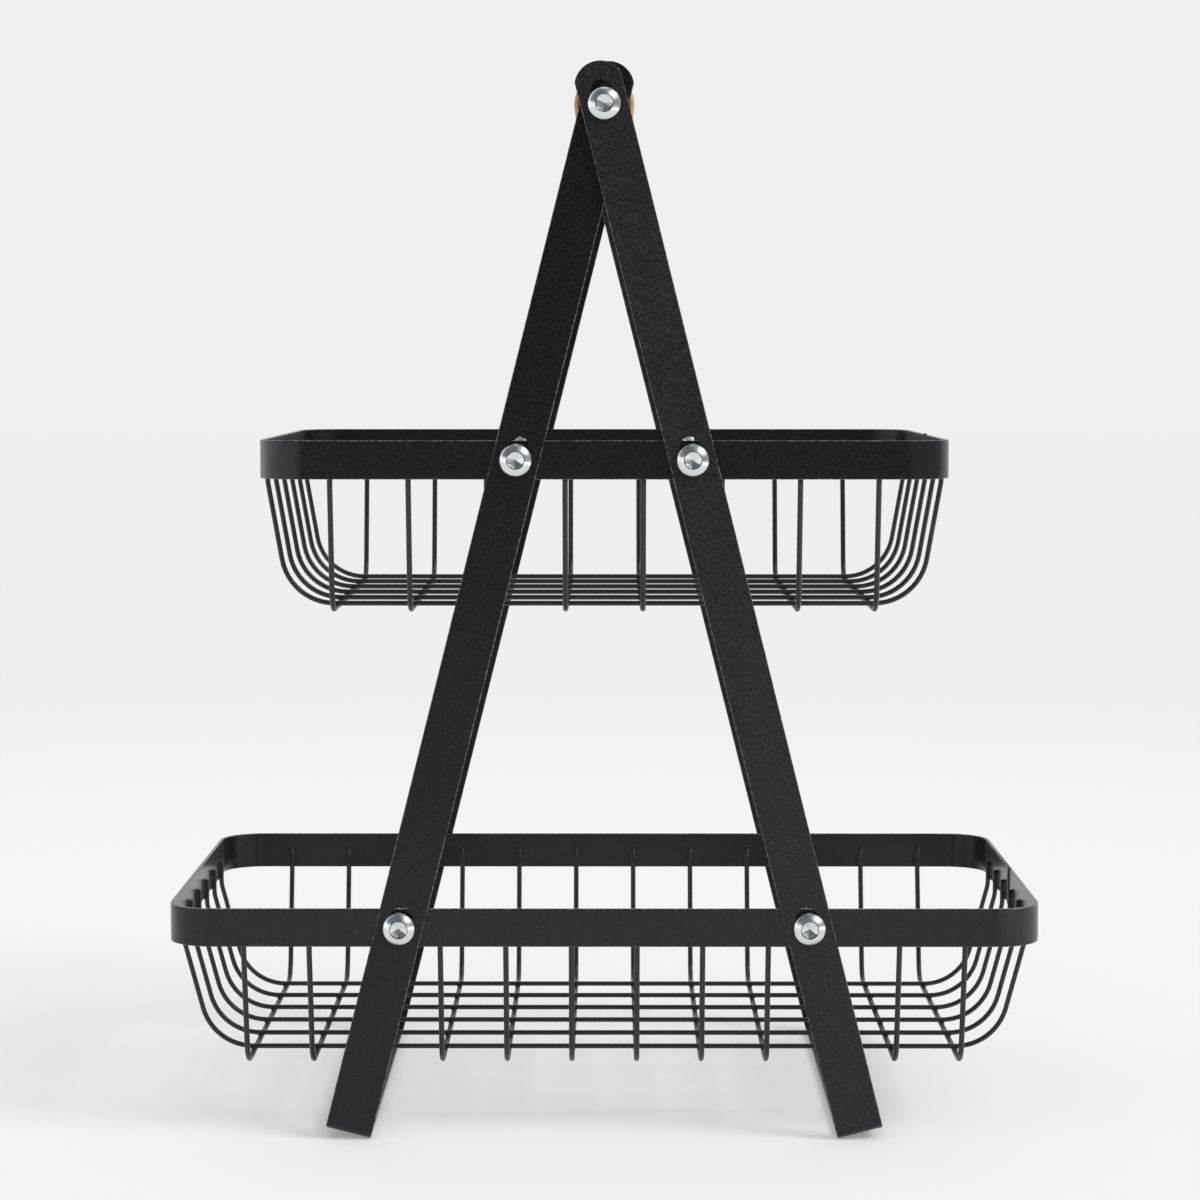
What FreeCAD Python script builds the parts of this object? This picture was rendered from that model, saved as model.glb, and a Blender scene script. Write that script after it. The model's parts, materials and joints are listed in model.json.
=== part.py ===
import FreeCAD, Part
import math
import os
import Sketcher

# Two-tier wire basket on an A-shaped stand of two flat-bar frames with a wooden carrying handle.
# X runs left to right, Y from front to rear, Z up. The origin is on the floor, under the middle.

Vector = FreeCAD.Vector
Constraint = Sketcher.Constraint

# Driving dimensions, in millimetres and degrees.
driving_sizes = [
    # stand
    ("apex_height", 442.0),             # handle axis above the floor
    ("splay_angle", 14.1),              # each frame's lean from upright
    ("bar_width", 20.0),
    ("bar_thickness", 2.5),
    ("leg_top", 18.0),                  # end of a leg past the handle axis
    ("end_arc_share", 1.09),            # radius of a leg's end over half the bar
    ("foot_bend_radius", 2.5),          # inside of the bend between leg and floor bar
    ("joggle_start", 105.0),            # below the handle axis, along the leg
    ("joggle_finish", 46.0),
    ("slot_rise", 5.8),                 # upper end of a slot above its screw
    ("cut_overrun", 5.0),               # how far a cut runs past what it cuts
    # rims
    ("rim_depth", 216.0),
    ("lower_rim_length", 377.0),
    ("upper_rim_length", 296.0),
    ("lower_rim_level", 92.0),          # middle of the strip above the floor
    ("upper_rim_drop", 149.5),          # middle of the strip below the handle axis
    ("rim_height", 16.5),
    ("rim_wall", 1.5),
    ("rim_corner_radius", 20.0),
    ("rim_seam", 0.4),
    # wires
    ("cross_wire_diameter", 2.4),
    ("long_wire_diameter", 2.2),
    ("weld_gap", 0.05),                 # between a wire and what it is welded to
    ("weld_overlap", 9.0),              # how far a wire reaches up the rim
    ("kink_drop", 0.5),                 # start of the inward lean below the rim
    ("kink_radius", 15.0),
    ("cross_bend_radius", 12.0),
    ("long_bend_radius", 23.0),
    ("lower_basket_depth", 71.5),       # rim top to the underside of the cross wires
    ("upper_basket_depth", 74.5),
    ("lower_cross_lean_angle", 14.0),   # of the basket sides, from upright
    ("upper_cross_lean_angle", 10.0),
    ("lower_long_lean_angle", 15.0),
    ("upper_long_lean_angle", 10.0),
    ("lower_wire_inside", 17.4),        # from a screw to the next cross wire, inwards
    ("lower_wire_outside", 10.8),       # and outwards
    ("upper_wire_inside", 20.9),
    ("upper_wire_outside", 12.5),
    ("lower_long_spread_share", 0.84),  # outermost long wires on the flat of the cross wires
    ("upper_long_spread_share", 0.98),
    # screws and nuts
    ("screw_diameter", 8.0),
    ("screw_clearance", 0.3),           # all round a screw in its slot or hole
    ("screw_tip_chamfer", 0.8),
    ("head_diameter", 14.0),
    ("head_height", 3.4),
    ("head_edge", 1.1),
    ("head_flat_radius", 3.9),
    ("head_dome_radius", 9.4),
    ("socket_width", 6.0),
    ("socket_depth", 2.6),
    ("basket_screw_length", 12.0),
    ("handle_screw_length", 20.0),
    ("nut_width", 13.0),
    ("nut_height", 6.5),
    ("nut_chamfer", 0.5),
    ("thread_clearance", 0.05),
    # handle
    ("dowel_diameter", 25.4),
    ("dowel_chamfer", 1.0),
    ("handle_play", 0.3),               # at each end of the dowel and under each handle screw
    ("insert_diameter", 12.0),
    ("insert_length", 20.0),
    ("insert_chamfer", 0.6),
    ("insert_clearance", 0.05),
    ("insert_room", 3.0),               # bore left open past an insert
]

# How many wires stand between a basket's two screws, beyond each of them, and lie lengthwise.
wire_counts = {
    "lower": {"inner_count": 6, "outer_count": 3, "long_count": 6},
    "upper": {"inner_count": 2, "outer_count": 3, "long_count": 6},
}

# Places worked out from the driving dimensions.
worked_out = [
    ("upper_rim_level", "apex_height - upper_rim_drop"),
    ("half_depth", "rim_depth / 2"),
    ("half_bar", "bar_width / 2"),
    ("end_arc_radius", "half_bar * end_arc_share"),
    ("end_corner", "leg_top - end_arc_radius + sqrt(end_arc_radius ^ 2 - half_bar ^ 2)"),
    ("end_cut_side", "half_bar + cut_overrun"),
    ("end_cut_top", "leg_top + cut_overrun"),
    ("foot_drop", "(apex_height - half_bar * sin(splay_angle)) / cos(splay_angle)"),
    ("foot_top", "bar_thickness - foot_drop"),
    ("foot_outer_radius", "foot_bend_radius + bar_thickness"),
    ("foot_bend_top", "foot_outer_radius - foot_drop"),
    ("foot_bend_side", "half_depth - foot_bend_radius"),
    ("leg_face", "half_depth + bar_thickness"),
    ("leg_outer_face", "half_depth + 2 * bar_thickness"),
    ("slot_radius", "screw_diameter / 2 + screw_clearance"),
    ("upper_slot_low", "(upper_rim_level - apex_height) / cos(splay_angle)"),
    ("upper_slot_high", "upper_slot_low + slot_rise"),
    ("lower_slot_low", "(lower_rim_level - apex_height) / cos(splay_angle)"),
    ("lower_slot_high", "lower_slot_low + slot_rise"),
    ("upper_spread", "(apex_height - upper_rim_level) * tan(splay_angle)"),
    ("lower_spread", "(apex_height - lower_rim_level) * tan(splay_angle)"),
    ("half_seam", "rim_seam / 2"),
    ("half_rim_height", "rim_height / 2"),
    ("rim_inner_radius", "rim_corner_radius - rim_wall"),
    ("rim_flat_depth", "half_depth - rim_corner_radius"),
    ("rim_inner_depth", "half_depth - rim_wall"),
    ("cross_wire_radius", "cross_wire_diameter / 2"),
    ("long_wire_radius", "long_wire_diameter / 2"),
    ("cross_post", "rim_inner_depth - weld_gap - cross_wire_radius"),
    ("screw_radius", "screw_diameter / 2"),
    ("screw_tip_radius", "screw_radius - screw_tip_chamfer"),
    ("basket_screw_shoulder", "basket_screw_length - screw_tip_chamfer"),
    ("handle_screw_shoulder", "handle_screw_length - screw_tip_chamfer"),
    ("head_radius", "head_diameter / 2"),
    ("socket_corner", "socket_width / sqrt(3)"),
    ("thread_radius", "screw_radius + thread_clearance"),
    ("nut_corner", "nut_width / sqrt(3)"),
    ("half_nut", "nut_width / 2"),
    ("nut_shoulder", "nut_height - nut_chamfer"),
    ("nut_outside", "nut_corner + cut_overrun"),
    ("dowel_radius", "dowel_diameter / 2"),
    ("dowel_face_radius", "dowel_radius - dowel_chamfer"),
    ("dowel_end", "half_depth - handle_play"),
    ("dowel_edge", "dowel_end - dowel_chamfer"),
    ("insert_radius", "insert_diameter / 2"),
    ("insert_face_radius", "insert_radius - insert_chamfer"),
    ("insert_edge", "insert_length - insert_chamfer"),
    ("insert_bore_radius", "insert_radius + insert_clearance"),
    ("insert_bore_end", "dowel_end - insert_length - insert_room"),
    ("handle_head_seat", "leg_outer_face + handle_play"),
]

# Places worked out in the same way for each basket, with its name in front.
worked_out_of_basket = [
    ("half_length", "{0}_rim_length / 2"),
    ("flat_length", "{0}_half_length - rim_corner_radius"),
    ("inner_length", "{0}_half_length - rim_wall"),
    ("weld_top", "{0}_rim_level - half_rim_height + weld_overlap"),
    ("kink_top", "{0}_rim_level - half_rim_height - kink_drop"),
    ("cross_floor", "{0}_rim_level + half_rim_height - {0}_basket_depth + cross_wire_radius"),
    ("long_floor", "{0}_cross_floor + cross_wire_radius + long_wire_radius + weld_gap"),
    ("long_post", "{0}_inner_length - weld_gap - long_wire_radius"),
    ("cross_flat", "cross_post"
                   " - ({0}_kink_top - kink_radius * tan({0}_cross_lean_angle / 2) - {0}_cross_floor)"
                   " * tan({0}_cross_lean_angle)"
                   " - cross_bend_radius * tan(45 - {0}_cross_lean_angle / 2)"),
    ("long_flat", "{0}_long_post"
                  " - ({0}_kink_top - kink_radius * tan({0}_long_lean_angle / 2) - {0}_long_floor)"
                  " * tan({0}_long_lean_angle)"
                  " - long_bend_radius * tan(45 - {0}_long_lean_angle / 2)"),
    ("inner_reach", "{0}_spread - {0}_wire_inside"),
    ("outer_start", "{0}_spread + {0}_wire_outside"),
    ("long_reach", "{0}_cross_flat * {0}_long_spread_share"),
]

doc = FreeCAD.newDocument("tiered_wire_basket")
sheet = doc.addObject("Spreadsheet::Sheet", "sizes")


def fill_sheet():
    rows = [(alias, str(number)) for alias, number in driving_sizes]
    rows += [(alias, "=" + formula) for alias, formula in worked_out]
    for basket in wire_counts:
        for name, formula in worked_out_of_basket:
            rows.append((basket + "_" + name, "=" + formula.format(basket)))
    for number, (alias, text) in enumerate(rows, start=1):
        sheet.set("A%d" % number, alias)
        sheet.set("B%d" % number, text)
        sheet.setAlias("B%d" % number, alias)
    doc.recompute()


def size(alias):
    if alias.startswith("-"):
        return -float(sheet.get(alias[1:]))
    return float(sheet.get(alias))


def bound(alias):
    if alias.startswith("-"):
        return "-sizes." + alias[1:]
    return "sizes." + alias


def opposite(alias):
    return alias[1:] if alias.startswith("-") else "-" + alias


def new_body(label):
    body = doc.addObject("PartDesign::Body", label)
    body.Label = label
    return body


def place(item, x="", y="", z="", axis=Vector(0, 0, 1), angle=0.0):
    spots = [size(alias) if alias else 0.0 for alias in (x, y, z)]
    item.Placement = FreeCAD.Placement(Vector(*spots), FreeCAD.Rotation(axis, angle))
    for letter, alias in zip("xyz", (x, y, z)):
        if alias:
            item.setExpression("Placement.Base." + letter, bound(alias))


def new_sketch(body, name, role, height=""):
    sketch = body.newObject("Sketcher::SketchObject", name)
    plane = next(item for item in body.Origin.OriginFeatures if item.Role == role)
    sketch.AttachmentSupport = (plane, [""])
    sketch.MapMode = "FlatFace"
    if height:
        sketch.AttachmentOffset = FreeCAD.Placement(Vector(0, 0, size(height)), FreeCAD.Rotation())
        sketch.setExpression("AttachmentOffset.Base.z", bound(height))
    return sketch


def pin_point(sketch, geometry, end, x, y):
    for kind, alias, axis in (("DistanceX", x, -2), ("DistanceY", y, -1)):
        if alias:
            row = sketch.addConstraint(Constraint(kind, geometry, end, size(alias)))
            sketch.setExpression("Constraints[%d]" % row, bound(alias))
        else:
            sketch.addConstraint(Constraint("PointOnObject", geometry, end, axis))


def set_radius(sketch, geometry, alias):
    row = sketch.addConstraint(Constraint("Radius", geometry, size(alias)))
    sketch.setExpression("Constraints[%d]" % row, bound(alias))


def arc_between(start, finish, radius, side):
    # side is +1 where the centre is on the left of the way from start to finish
    chord = finish - start
    half = chord.Length / 2
    left = Vector(-chord.y, chord.x, 0).normalize()
    centre = start + chord / 2 + left * side * math.sqrt(max(radius * radius - half * half, 0.0))
    first, last = (start, finish) if side > 0 else (finish, start)
    angles = [math.atan2(point.y - centre.y, point.x - centre.x) for point in (first, last)]
    return Part.ArcOfCircle(Part.Circle(centre, Vector(0, 0, 1), radius), *angles)


def draw_outline(sketch, corners):
    # corners: (x, y), or (x, y, radius, side) where an arc of that radius leaves the corner,
    # with "half" for a half circle on a level chord
    spots = []
    for corner in corners:
        spots.append(Vector(*[size(alias) if alias else 0.0 for alias in corner[:2]], 0))
    ends = []
    for number, corner in enumerate(corners):
        start = spots[number]
        finish = spots[(number + 1) % len(spots)]
        if len(corner) > 2:
            half_chord = (finish - start).Length / 2
            radius = half_chord if corner[2] == "half" else size(corner[2])
            curve = arc_between(start, finish, radius, corner[3])
            order = (1, 2) if corner[3] > 0 else (2, 1)
        else:
            curve = Part.LineSegment(start, finish)
            order = (1, 2)
        ends.append((sketch.addGeometry(curve, False),) + order)
    for number, (geometry, start, finish) in enumerate(ends):
        after = ends[(number + 1) % len(ends)]
        sketch.addConstraint(Constraint("Coincident", geometry, finish, after[0], after[1]))
        pin_point(sketch, geometry, start, *corners[number][:2])
        if corners[number][2:3] == ("half",):
            sketch.addConstraint(Constraint("Horizontal", geometry, 3, geometry, 1))
        elif len(corners[number]) > 2:
            set_radius(sketch, geometry, corners[number][2])


def draw_circle(sketch, x, y, radius):
    spot = [size(alias) if alias else 0.0 for alias in (x, y)]
    circle = Part.Circle(Vector(*spot, 0), Vector(0, 0, 1), size(radius))
    geometry = sketch.addGeometry(circle, False)
    pin_point(sketch, geometry, 3, x, y)
    set_radius(sketch, geometry, radius)


def draw_hexagon(sketch, corner_radius):
    reach = size(corner_radius)
    ring = sketch.addGeometry(Part.Circle(Vector(0, 0, 0), Vector(0, 0, 1), reach), True)
    sketch.addConstraint(Constraint("Coincident", ring, 3, -1, 1))
    set_radius(sketch, ring, corner_radius)
    spots = []
    for step in range(6):
        turn = math.radians(60 * step)
        spots.append(Vector(reach * math.cos(turn), reach * math.sin(turn), 0))
    sides = [sketch.addGeometry(Part.LineSegment(spots[step - 1], spots[step]), False) for step in range(6)]
    for step in range(6):
        sketch.addConstraint(Constraint("Coincident", sides[step - 1], 2, sides[step], 1))
        sketch.addConstraint(Constraint("PointOnObject", sides[step], 1, ring))
        if step:
            sketch.addConstraint(Constraint("Equal", sides[0], sides[step]))
    sketch.addConstraint(Constraint("PointOnObject", sides[0], 2, -1))


def pad(body, sketch, length, midplane=False):
    feature = body.newObject("PartDesign::Pad", sketch.Name + "_pad")
    feature.Profile = sketch
    feature.Length = size(length)
    feature.setExpression("Length", bound(length))
    feature.Midplane = midplane
    doc.recompute()


def cut_through(body, sketch):
    before = body.Shape.Volume
    feature = body.newObject("PartDesign::Pocket", sketch.Name + "_cut")
    feature.Profile = sketch
    feature.Type = "ThroughAll"
    feature.Midplane = True
    finish_cut(body, feature, before)


def finish_cut(body, feature, before):
    doc.recompute()
    if not body.Shape.Volume < before:
        raise RuntimeError(feature.Name + " removed nothing from " + body.Label)


def turn_profile(body, sketch):
    feature = body.newObject("PartDesign::Revolution", sketch.Name + "_turned")
    feature.Profile = sketch
    feature.ReferenceAxis = (sketch, ["V_Axis"])
    feature.Angle = 360.0
    doc.recompute()


# Leg frames: a flat bar bent into a U. One leg is set outwards at the top to pass over the other frame.
def make_leg_frame(label, plain_side, lean_axis):
    body = new_body(label)

    def at(depth, height, *arc):
        # depth is counted towards the plain leg, which is in front on one frame and behind on the other
        sideways = depth if plain_side > 0 else opposite(depth)
        if arc:
            return (sideways, height, arc[0], arc[1] * plain_side)
        return (sideways, height)

    profile = new_sketch(body, label + "_profile", "YZ_Plane")
    draw_outline(profile, [
        at("leg_face", "leg_top"),
        at("half_depth", "leg_top"),
        at("half_depth", "foot_bend_top", "foot_bend_radius", -1),
        at("foot_bend_side", "foot_top"),
        at("-foot_bend_side", "foot_top", "foot_bend_radius", -1),
        at("-half_depth", "foot_bend_top"),
        at("-half_depth", "-joggle_start"),
        at("-leg_face", "-joggle_finish"),
        at("-leg_face", "leg_top"),
        at("-leg_outer_face", "leg_top"),
        at("-leg_outer_face", "-joggle_finish"),
        at("-leg_face", "-joggle_start"),
        at("-leg_face", "foot_bend_top", "foot_outer_radius", 1),
        at("-foot_bend_side", "-foot_drop"),
        at("foot_bend_side", "-foot_drop", "foot_outer_radius", 1),
        at("leg_face", "foot_bend_top"),
    ])
    pad(body, profile, "bar_width", midplane=True)

    ends = new_sketch(body, label + "_round_ends", "XZ_Plane")
    draw_outline(ends, [
        ("half_bar", "end_corner", "end_arc_radius", 1),
        ("-half_bar", "end_corner"),
        ("-end_cut_side", "end_corner"),
        ("-end_cut_side", "end_cut_top"),
        ("end_cut_side", "end_cut_top"),
        ("end_cut_side", "end_corner"),
    ])
    cut_through(body, ends)

    slots = new_sketch(body, label + "_slots", "XZ_Plane")
    for low, high in (("", "slot_rise"), ("upper_slot_low", "upper_slot_high"),
                      ("lower_slot_low", "lower_slot_high")):
        draw_outline(slots, [
            ("slot_radius", low),
            ("slot_radius", high, "half", 1),
            ("-slot_radius", high),
            ("-slot_radius", low, "half", 1),
        ])
    cut_through(body, slots)
    place(body, z="apex_height", axis=lean_axis, angle=size("splay_angle"))
    body.setExpression("Placement.Rotation.Angle", "sizes.splay_angle")
    return body


# Rims: a flat strip bent into a rounded rectangle, open by a narrow seam at the right end.
def make_rim(basket):
    body = new_body(basket + "_rim")
    strip = new_sketch(body, basket + "_rim_strip", "XY_Plane")
    corner = ("rim_corner_radius", 1)
    inner_corner = ("rim_inner_radius", -1)
    length = basket + "_half_length"
    flat = basket + "_flat_length"
    inner = basket + "_inner_length"
    draw_outline(strip, [
        (length, "half_seam"),
        (length, "rim_flat_depth", *corner),
        (flat, "half_depth"),
        ("-" + flat, "half_depth", *corner),
        ("-" + length, "rim_flat_depth"),
        ("-" + length, "-rim_flat_depth", *corner),
        ("-" + flat, "-half_depth"),
        (flat, "-half_depth", *corner),
        (length, "-rim_flat_depth"),
        (length, "-half_seam"),
        (inner, "-half_seam"),
        (inner, "-rim_flat_depth", *inner_corner),
        (flat, "-rim_inner_depth"),
        ("-" + flat, "-rim_inner_depth", *inner_corner),
        ("-" + inner, "-rim_flat_depth"),
        ("-" + inner, "rim_flat_depth", *inner_corner),
        ("-" + flat, "rim_inner_depth"),
        (flat, "rim_inner_depth", *inner_corner),
        (inner, "rim_flat_depth"),
        (inner, "half_seam"),
    ])
    pad(body, strip, "rim_height", midplane=True)
    holes = new_sketch(body, basket + "_rim_holes", "XZ_Plane")
    for spread in (basket + "_spread", "-" + basket + "_spread"):
        draw_circle(holes, spread, "", "slot_radius")
    cut_through(body, holes)
    place(body, z=basket + "_rim_level")
    return body


# Wires: up the rim at both ends, a slight kink below it, a leaning side, a bend and a flat floor.
def make_wire(label, spine_role, post, floor, lean, bend_radius, wire_radius, basket):
    body = new_body(label)
    weld_top = basket + "_weld_top"
    kink_top = basket + "_kink_top"
    slope = math.radians(size(lean))
    kink_centre = Vector(size("kink_radius") - size(post), size(kink_top), 0)
    kink_low = kink_centre - Vector(math.cos(slope), math.sin(slope), 0) * size("kink_radius")
    run = Vector(math.sin(slope), -math.cos(slope), 0)
    bend_drop = size(bend_radius) * (1 - math.sin(slope))
    side_foot = kink_low + run * ((kink_low.y - size(floor) - bend_drop) / math.cos(slope))
    floor_end = side_foot + Vector(size(bend_radius) * math.cos(slope), -bend_drop, 0)
    left_half = [Vector(-size(post), size(weld_top), 0), Vector(-size(post), size(kink_top), 0),
                 kink_low, side_foot, floor_end]
    spots = left_half + [Vector(-spot.x, spot.y, 0) for spot in reversed(left_half)]
    arcs = {1: "kink_radius", 3: bend_radius, 5: bend_radius, 7: "kink_radius"}

    spine = new_sketch(body, label + "_spine", spine_role)
    for number in range(len(spots) - 1):
        ends = (spots[number], spots[number + 1])
        if number in arcs:
            spine.addGeometry(arc_between(*ends, size(arcs[number]), 1), False)
        else:
            spine.addGeometry(Part.LineSegment(*ends), False)
    for number in range(len(spots) - 2):
        spine.addConstraint(Constraint("Tangent", number, 2, number + 1, 1))
    for post_line in (0, 8):
        spine.addConstraint(Constraint("Vertical", post_line))
    spine.addConstraint(Constraint("Horizontal", 4))
    for first, second in ((1, 7), (3, 5)):
        set_radius(spine, first, arcs[first])
        spine.addConstraint(Constraint("Equal", first, second))
    pin_point(spine, 0, 1, "-" + post, weld_top)
    spine.addConstraint(Constraint("Symmetric", 0, 1, 8, 2, -2))
    spine.addConstraint(Constraint("Horizontal", 0, 2, 8, 1))
    for line, end, height in ((0, 2, kink_top), (4, 1, floor)):
        row = spine.addConstraint(Constraint("DistanceY", line, end, size(height)))
        spine.setExpression("Constraints[%d]" % row, bound(height))
    for line, sign in ((2, -1), (6, 1)):
        row = spine.addConstraint(Constraint("Angle", line, sign * (math.pi / 2 - slope)))
        spine.setExpression("Constraints[%d]" % row, "%d * (90 - sizes.%s)" % (sign, lean))

    section = new_sketch(body, label + "_section", "XY_Plane", weld_top)
    if spine_role == "YZ_Plane":
        draw_circle(section, "", "-" + post, wire_radius)
    else:
        draw_circle(section, "-" + post, "", wire_radius)
    pipe = body.newObject("PartDesign::AdditivePipe", label + "_pipe")
    pipe.Profile = section
    pipe.Spine = spine
    doc.recompute()
    length = sum(edge.Length for edge in spine.Shape.Edges)
    expected = math.pi * size(wire_radius) ** 2 * length
    if not math.isclose(body.Shape.Volume, expected, rel_tol=1e-3):
        raise RuntimeError(label + " is not a whole wire")
    return body


def spread_evenly(first, last, count):
    # expressions for count places from one alias to another
    for step in range(count):
        yield "%s + (%s - (%s)) * %d / %d" % (bound(first), bound(last), bound(first), step, count - 1)


def make_wires(basket):
    counts = wire_counts[basket]
    wires = []
    places = []
    outer = (basket + "_outer_start", basket + "_long_flat")
    places += spread_evenly(opposite(outer[1]), opposite(outer[0]), counts["outer_count"])
    places += spread_evenly("-" + basket + "_inner_reach", basket + "_inner_reach", counts["inner_count"])
    places += spread_evenly(*outer, counts["outer_count"])
    for number, spot in enumerate(places, start=1):
        wire = make_wire("%s_cross_wire_%d" % (basket, number), "YZ_Plane", "cross_post",
                         basket + "_cross_floor", basket + "_cross_lean_angle", "cross_bend_radius",
                         "cross_wire_radius", basket)
        wire.setExpression("Placement.Base.x", spot)
        wires.append(wire)
    reach = basket + "_long_reach"
    for number, spot in enumerate(spread_evenly("-" + reach, reach, counts["long_count"]), start=1):
        wire = make_wire("%s_long_wire_%d" % (basket, number), "XZ_Plane", basket + "_long_post",
                         basket + "_long_floor", basket + "_long_lean_angle", "long_bend_radius",
                         "long_wire_radius", basket)
        wire.setExpression("Placement.Base.y", spot)
        wires.append(wire)
    return wires


# Button-head screw with a hex socket, head up on the Z axis, its seat at zero.
def make_screw(label):
    body = new_body(label)
    tip = "-" + label + "_length"
    profile = new_sketch(body, label + "_profile", "XZ_Plane")
    draw_outline(profile, [
        ("", tip),
        ("screw_tip_radius", tip),
        ("screw_radius", "-" + label + "_shoulder"),
        ("screw_radius", ""),
        ("head_radius", ""),
        ("head_radius", "head_edge", "head_dome_radius", 1),
        ("head_flat_radius", "head_height"),
        ("", "head_height"),
    ])
    turn_profile(body, profile)
    before = body.Shape.Volume
    socket = new_sketch(body, label + "_socket", "XY_Plane", "head_height")
    draw_hexagon(socket, "socket_corner")
    feature = body.newObject("PartDesign::Pocket", label + "_socket_cut")
    feature.Profile = socket
    feature.Length = size("socket_depth")
    feature.setExpression("Length", "sizes.socket_depth")
    finish_cut(body, feature, before)
    return body


# Hex nut standing on zero, with its free face chamfered round.
def make_nut(label):
    body = new_body(label)
    hexagon = new_sketch(body, label + "_hexagon", "XY_Plane")
    draw_hexagon(hexagon, "nut_corner")
    draw_circle(hexagon, "", "", "thread_radius")
    pad(body, hexagon, "nut_height")
    before = body.Shape.Volume
    rounding = new_sketch(body, label + "_rounding", "XZ_Plane")
    draw_outline(rounding, [
        ("half_nut", "nut_height"),
        ("nut_corner", "nut_shoulder"),
        ("nut_outside", "nut_shoulder"),
        ("nut_outside", "nut_height"),
    ])
    feature = body.newObject("PartDesign::Groove", label + "_rounding_cut")
    feature.Profile = rounding
    feature.ReferenceAxis = (rounding, ["V_Axis"])
    feature.Angle = 360.0
    finish_cut(body, feature, before)
    return body


# Threaded insert, its outer face at zero and its body below.
def make_insert(label):
    body = new_body(label)
    profile = new_sketch(body, label + "_profile", "XZ_Plane")
    draw_outline(profile, [
        ("thread_radius", ""),
        ("thread_radius", "-insert_length"),
        ("insert_face_radius", "-insert_length"),
        ("insert_radius", "-insert_edge"),
        ("insert_radius", ""),
    ])
    turn_profile(body, profile)
    return body


# Handle dowel along Y, with a blind bore for an insert in each end.
def make_dowel(label):
    body = new_body(label)
    profile = new_sketch(body, label + "_profile", "XY_Plane")
    draw_outline(profile, [
        ("", "-insert_bore_end"),
        ("insert_bore_radius", "-insert_bore_end"),
        ("insert_bore_radius", "-dowel_end"),
        ("dowel_face_radius", "-dowel_end"),
        ("dowel_radius", "-dowel_edge"),
        ("dowel_radius", "dowel_edge"),
        ("dowel_face_radius", "dowel_end"),
        ("insert_bore_radius", "dowel_end"),
        ("insert_bore_radius", "insert_bore_end"),
        ("", "insert_bore_end"),
    ])
    turn_profile(body, profile)
    place(body, z="apex_height")
    return body


# A group of like pieces in one node: copies of a pattern piece, with its Z axis turned to the outside.
def make_group(label, pattern, spreads, seat, level, faces_out=True):
    copies = []
    for spread in spreads:
        for side in (-1, 1):
            copy = doc.addObject("App::Link", "%s_%d" % (label, len(copies) + 1))
            copy.LinkedObject = pattern
            depth = seat if side > 0 else "-" + seat
            turn = -side if faces_out else side
            place(copy, spread, depth, level, axis=Vector(turn, 0, 0), angle=90.0)
            copies.append(copy)
    group = doc.addObject("Part::Compound", label)
    group.Label = label
    group.Links = copies
    return group


def check_document(nodes):
    doc.recompute()
    for item in doc.Objects:
        if "Invalid" in item.State or "Error" in item.State:
            raise RuntimeError(item.Label + " could not be built")
    for node in nodes:
        if node.Shape.isNull() or not node.Shape.isValid() or not node.Shape.Solids:
            raise RuntimeError(node.Label + " has no valid solid")


def build():
    fill_sheet()
    nodes = [
        make_leg_frame("left_leg_frame", -1, Vector(0, 1, 0)),
        make_leg_frame("right_leg_frame", 1, Vector(0, -1, 0)),
        make_dowel("handle_dowel"),
    ]
    for basket in wire_counts:
        nodes.append(make_rim(basket))
        nodes += make_wires(basket)

    basket_screw = make_screw("basket_screw")
    handle_screw = make_screw("handle_screw")
    hex_nut = make_nut("hex_nut")
    insert = make_insert("threaded_insert")
    nodes.append(make_group("handle_screws", handle_screw, [""], "handle_head_seat", "apex_height"))
    nodes.append(make_group("handle_inserts", insert, [""], "dowel_end", "apex_height"))
    for basket in wire_counts:
        spreads = ["-" + basket + "_spread", basket + "_spread"]
        level = basket + "_rim_level"
        nodes.append(make_group(basket + "_basket_screws", basket_screw, spreads, "leg_face", level))
        nodes.append(make_group(basket + "_basket_nuts", hex_nut, spreads, "rim_inner_depth", level,
                                faces_out=False))
    check_document(nodes)
    os.makedirs("parts", exist_ok=True)
    for node in nodes:
        node.Shape.exportStep("parts/%s.step" % node.Label)
    print(len(nodes), "nodes written")


build()
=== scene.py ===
import json
import math

import bmesh
import bpy
from mathutils import Matrix, Vector


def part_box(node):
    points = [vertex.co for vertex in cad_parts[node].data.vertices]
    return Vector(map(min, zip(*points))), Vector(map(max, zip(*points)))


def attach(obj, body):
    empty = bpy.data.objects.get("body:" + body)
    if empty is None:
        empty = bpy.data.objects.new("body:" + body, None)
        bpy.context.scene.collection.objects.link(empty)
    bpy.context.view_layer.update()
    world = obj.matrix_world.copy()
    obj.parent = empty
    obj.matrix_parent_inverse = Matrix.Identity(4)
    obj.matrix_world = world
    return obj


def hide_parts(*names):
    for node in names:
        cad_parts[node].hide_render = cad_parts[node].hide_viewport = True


# Tiered wire basket: two leaning flat-bar leg frames, two bolted wire baskets and a wooden handle.
# Metres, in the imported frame: X along the baskets, Y from front to rear, Z up.
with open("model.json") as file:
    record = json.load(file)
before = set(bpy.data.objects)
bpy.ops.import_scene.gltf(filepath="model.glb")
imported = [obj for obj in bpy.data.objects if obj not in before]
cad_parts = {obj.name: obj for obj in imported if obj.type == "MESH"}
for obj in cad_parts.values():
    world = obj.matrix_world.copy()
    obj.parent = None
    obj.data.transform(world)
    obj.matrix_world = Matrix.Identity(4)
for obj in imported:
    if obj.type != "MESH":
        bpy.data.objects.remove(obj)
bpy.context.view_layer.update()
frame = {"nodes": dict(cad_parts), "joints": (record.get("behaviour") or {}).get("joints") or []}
apex = Vector(frame["joints"][0]["pos_m"])  # middle of the handle
baskets = ("lower", "upper")
quarter = math.pi / 2  # of a turn
print("frame loaded,", len(frame["nodes"]), "nodes")


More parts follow.
